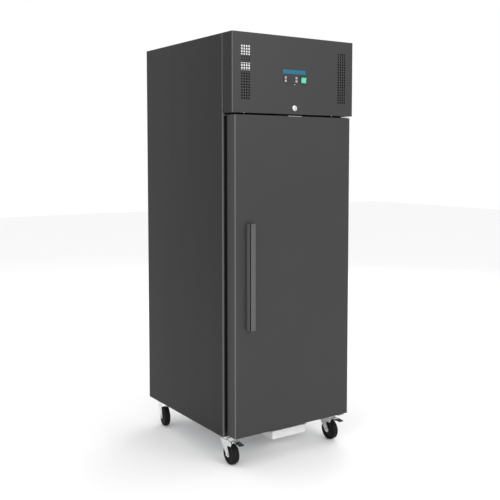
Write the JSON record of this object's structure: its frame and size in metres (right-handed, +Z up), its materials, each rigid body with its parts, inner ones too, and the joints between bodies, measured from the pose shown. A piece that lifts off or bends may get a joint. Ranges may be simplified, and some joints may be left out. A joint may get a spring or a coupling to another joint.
{
  "type": "reach-in refrigerator",
  "caption": "Single-door upright reach-in refrigerator with a hinged machine fascia, wire shelves, drip tray and four swivel castors.",
  "frame": {"origin": "on the floor, under the middle of the overall bounding box", "axes": "+Z up; the door and the fascia face -Y; +X to the right as the user faces the door, towards the hinges"},
  "size_m": [0.7, 0.876, 1.99],
  "materials": {
    "cabinet_paint": "satin charcoal powder coat",
    "front_paint": "satin charcoal powder coat",
    "handle_paint": "satin grey powder coat",
    "galvanised_steel": "galvanised sheet",
    "foam": "cut polyurethane foam",
    "stainless_steel": "brushed stainless sheet",
    "shelf_wire": "plated wire",
    "gasket_rubber": "soft black magnetic seal",
    "zinc_plate": "bright zinc plate",
    "black_plastic": "moulded black plastic",
    "grey_plastic": "moulded light grey plastic",
    "white_plastic": "moulded white plastic",
    "chrome_plate": "polished chrome",
    "green_lens": "translucent green lens",
    "castor_rubber": "solid black rubber",
    "black_enamel": "gloss black enamel",
    "copper_pipe": "drawn copper",
    "fin_aluminium": "thin aluminium"
  },
  "bodies": {
    "cabinet": {"left_side_panel": "cabinet_paint", "right_side_panel": "cabinet_paint", "back_panel": "galvanised_steel", "machine_deck": "galvanised_steel", "base_panel": "galvanised_steel", "wall_insulation": "foam", "inner_liner": "stainless_steel", "door_frame": "cabinet_paint", "rear_guard": "galvanised_steel", "cross_rail": "galvanised_steel", "cable_gland": "black_plastic", "fascia_hinge_rail": "galvanised_steel", "upper_hinge_bracket": "zinc_plate", "lower_hinge_bracket": "zinc_plate", "left_racking": "stainless_steel", "right_racking": "stainless_steel", "compressor": "black_enamel", "condenser_coil": "fin_aluminium", "condenser_fan_cowl": "black_enamel", "discharge_pipe": "copper_pipe", "evaporator_cover": "white_plastic", "evaporator_coil": "fin_aluminium", "drain_pipe": "white_plastic", "tray_rail_left": "zinc_plate", "tray_rail_right": "zinc_plate", "front_left_castor_plate": "zinc_plate", "front_right_castor_plate": "zinc_plate", "rear_left_castor_plate": "zinc_plate", "rear_right_castor_plate": "zinc_plate"},
    "door": {"door_outer_pan": "front_paint", "door_insulation": "foam", "door_inner_skin": "stainless_steel", "door_gasket": "gasket_rubber", "door_handle": "handle_paint"},
    "fascia": {"front_fascia": "front_paint", "digital_controller": "black_plastic", "switch_bezel": "black_plastic", "lock_barrel": "chrome_plate"},
    "controller_button_left_upper": {"controller_button_left_upper": "grey_plastic"},
    "controller_button_left_lower": {"controller_button_left_lower": "grey_plastic"},
    "controller_button_right_upper": {"controller_button_right_upper": "grey_plastic"},
    "controller_button_right_lower": {"controller_button_right_lower": "grey_plastic"},
    "power_rocker": {"power_rocker": "green_lens"},
    "lock_cam": {"lock_cam": "chrome_plate"},
    "wire_shelf_lower": {"wire_shelf_lower": "shelf_wire"},
    "wire_shelf_middle": {"wire_shelf_middle": "shelf_wire"},
    "wire_shelf_upper": {"wire_shelf_upper": "shelf_wire"},
    "drip_tray": {"drip_tray": "white_plastic"},
    "condenser_fan_blade": {"condenser_fan_blade": "fin_aluminium"},
    "evaporator_fan_blade": {"evaporator_fan_blade": "black_plastic"},
    "front_left_swivel": {"front_left_castor_fork": "zinc_plate"},
    "front_left_wheel": {"front_left_castor_wheel": "castor_rubber"},
    "front_left_brake": {"front_left_brake_pedal": "black_plastic"},
    "front_right_swivel": {"front_right_castor_fork": "zinc_plate"},
    "front_right_wheel": {"front_right_castor_wheel": "castor_rubber"},
    "front_right_brake": {"front_right_brake_pedal": "black_plastic"},
    "rear_left_swivel": {"rear_left_castor_fork": "zinc_plate"},
    "rear_left_wheel": {"rear_left_castor_wheel": "castor_rubber"},
    "rear_right_swivel": {"rear_right_castor_fork": "zinc_plate"},
    "rear_right_wheel": {"rear_right_castor_wheel": "castor_rubber"}
  },
  "joints": [
    {"name": "door_hinge", "type": "hinge", "parent": "cabinet", "child": "door", "pos_m": [0.318, -0.382, 0.89], "axis": [0, 0, 1], "range_deg": [0, 110]},
    {"name": "fascia_hinge", "type": "hinge", "parent": "cabinet", "child": "fascia", "pos_m": [0, -0.366, 1.982], "axis": [-1, 0, 0], "range_deg": [0, 80]},
    {"name": "lock_turn", "type": "hinge", "parent": "fascia", "child": "lock_cam", "pos_m": [-0.005, -0.386, 1.662], "axis": [0, 1, 0], "range_deg": [0, 90]},
    {"name": "power_rocker_tilt", "type": "hinge", "parent": "fascia", "child": "power_rocker", "pos_m": [0.046, -0.404, 1.794], "axis": [1, 0, 0], "range_deg": [-14, 0]},
    {"name": "controller_button_left_upper_press", "type": "slide", "parent": "fascia", "child": "controller_button_left_upper", "axis": [0, 1, 0], "range_m": [0, 0.001], "stiffness_N_per_m": 300},
    {"name": "controller_button_left_lower_press", "type": "slide", "parent": "fascia", "child": "controller_button_left_lower", "axis": [0, 1, 0], "range_m": [0, 0.001], "stiffness_N_per_m": 300},
    {"name": "controller_button_right_upper_press", "type": "slide", "parent": "fascia", "child": "controller_button_right_upper", "axis": [0, 1, 0], "range_m": [0, 0.001], "stiffness_N_per_m": 300},
    {"name": "controller_button_right_lower_press", "type": "slide", "parent": "fascia", "child": "controller_button_right_lower", "axis": [0, 1, 0], "range_m": [0, 0.001], "stiffness_N_per_m": 300},
    {"name": "shelf_lower_slide", "type": "slide", "parent": "cabinet", "child": "wire_shelf_lower", "axis": [0, -1, 0], "range_m": [0, 0.05]},
    {"name": "shelf_middle_slide", "type": "slide", "parent": "cabinet", "child": "wire_shelf_middle", "axis": [0, -1, 0], "range_m": [0, 0.05]},
    {"name": "shelf_upper_slide", "type": "slide", "parent": "cabinet", "child": "wire_shelf_upper", "axis": [0, -1, 0], "range_m": [0, 0.05]},
    {"name": "drip_tray_slide", "type": "slide", "parent": "cabinet", "child": "drip_tray", "axis": [0, -1, 0], "range_m": [0, 0.25]},
    {"name": "condenser_fan_spin", "type": "hinge", "parent": "cabinet", "child": "condenser_fan_blade", "pos_m": [0.185, -0.174, 1.77415], "axis": [0, 1, 0], "continuous": true},
    {"name": "evaporator_fan_spin", "type": "hinge", "parent": "cabinet", "child": "evaporator_fan_blade", "pos_m": [0, 0.03, 1.492], "axis": [0, 1, 0], "continuous": true},
    {"name": "front_left_castor_swivel", "type": "hinge", "parent": "cabinet", "child": "front_left_swivel", "pos_m": [-0.298, -0.278, 0.125], "axis": [0, 0, 1], "continuous": true},
    {"name": "front_left_wheel_spin", "type": "hinge", "parent": "front_left_swivel", "child": "front_left_wheel", "pos_m": [-0.298, -0.316, 0.05], "axis": [1, 0, 0], "continuous": true},
    {"name": "front_left_brake_press", "type": "hinge", "parent": "front_left_swivel", "child": "front_left_brake", "pos_m": [-0.298, -0.329, 0.1097], "axis": [1, 0, 0], "range_deg": [0, 12]},
    {"name": "front_right_castor_swivel", "type": "hinge", "parent": "cabinet", "child": "front_right_swivel", "pos_m": [0.298, -0.278, 0.125], "axis": [0, 0, 1], "continuous": true},
    {"name": "front_right_wheel_spin", "type": "hinge", "parent": "front_right_swivel", "child": "front_right_wheel", "pos_m": [0.298, -0.316, 0.05], "axis": [1, 0, 0], "continuous": true},
    {"name": "front_right_brake_press", "type": "hinge", "parent": "front_right_swivel", "child": "front_right_brake", "pos_m": [0.298, -0.329, 0.1097], "axis": [1, 0, 0], "range_deg": [0, 12]},
    {"name": "rear_left_castor_swivel", "type": "hinge", "parent": "cabinet", "child": "rear_left_swivel", "pos_m": [-0.298, 0.368, 0.125], "axis": [0, 0, 1], "continuous": true},
    {"name": "rear_left_wheel_spin", "type": "hinge", "parent": "rear_left_swivel", "child": "rear_left_wheel", "pos_m": [-0.3059, 0.33083, 0.05], "axis": [0.9781, -0.2079, 0], "continuous": true},
    {"name": "rear_right_castor_swivel", "type": "hinge", "parent": "cabinet", "child": "rear_right_swivel", "pos_m": [0.298, 0.368, 0.125], "axis": [0, 0, 1], "continuous": true},
    {"name": "rear_right_wheel_spin", "type": "hinge", "parent": "rear_right_swivel", "child": "rear_right_wheel", "pos_m": [0.298, 0.33, 0.05], "axis": [1, 0, 0], "continuous": true}
  ]
}
